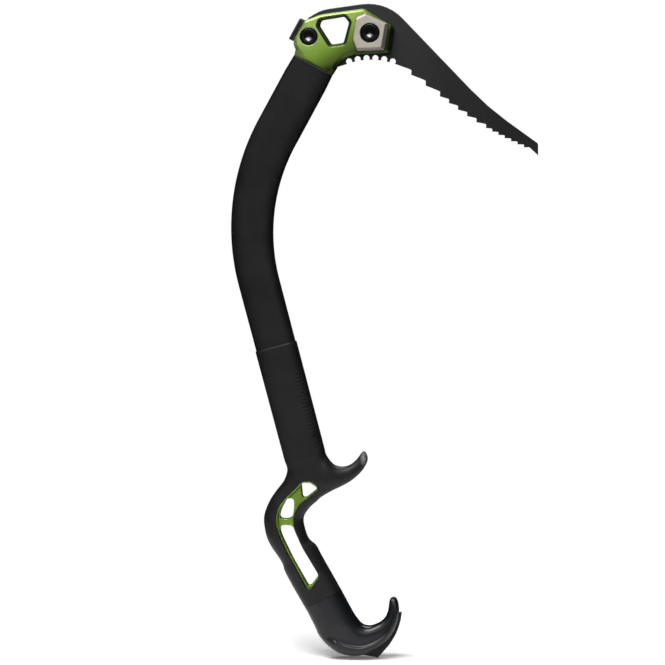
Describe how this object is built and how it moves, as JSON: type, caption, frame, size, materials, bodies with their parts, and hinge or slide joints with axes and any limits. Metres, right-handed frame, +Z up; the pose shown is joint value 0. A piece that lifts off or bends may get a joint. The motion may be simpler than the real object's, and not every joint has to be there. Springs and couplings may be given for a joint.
{
  "type": "ice climbing tool",
  "caption": "Hand-held ice climbing tool with a bent tube shaft, bolted two-cheek head, toothed drooped pick, small hammer, open-frame handle with trigger, and a sliding hooked pommel.",
  "frame": {"origin": "middle of the lower hand's hold on the handle, on the tool's middle plane", "axes": "+X the way the pick points, +Z up along the tool, +Y across the tool"},
  "size_m": [0.2354, 0.027, 0.5025],
  "materials": {
    "tube_black": "satin black anodised tube",
    "alloy_green": "green anodised forging with bright bevels",
    "blade_steel": "charcoal coated tool steel",
    "bare_metal": "satin bare metal",
    "bolt_black": "black oxide steel",
    "grip_rubber": "matte moulded rubber",
    "pommel_plastic": "moulded nylon, slightly glossy along its lip"
  },
  "bodies": {
    "tool": {"shaft": "tube_black", "head": "alloy_green", "pick": "blade_steel", "pick_collar": "bare_metal", "pick_nut": "bare_metal", "hammer": "blade_steel", "rear_nut": "bolt_black", "upper_grip": "grip_rubber", "handle_frame": "alloy_green", "frame_pins": "bare_metal", "lower_grip": "grip_rubber"},
    "pommel": {"pommel": "pommel_plastic", "spike": "blade_steel", "pommel_nut": "bolt_black"},
    "pick_bolt": {"pick_bolt": "bolt_black"},
    "rear_bolt": {"rear_bolt": "bolt_black"},
    "pommel_bolt": {"pommel_bolt": "bolt_black"}
  },
  "joints": [
    {"name": "pommel_adjust", "type": "slide", "parent": "tool", "child": "pommel", "axis": [0.4833, 0, -0.8755], "range_m": [0, 0.008]},
    {"name": "pick_bolt_turn", "type": "hinge", "parent": "tool", "child": "pick_bolt", "pos_m": [0.05451, 0, 0.39777], "axis": [0, 1, 0], "continuous": true},
    {"name": "rear_bolt_turn", "type": "hinge", "parent": "tool", "child": "rear_bolt", "pos_m": [0.00751, 0, 0.39507], "axis": [0, 1, 0], "continuous": true},
    {"name": "pommel_bolt_turn", "type": "hinge", "parent": "pommel", "child": "pommel_bolt", "pos_m": [0.02356, 0, -0.04747], "axis": [0, 1, 0], "continuous": true}
  ]
}
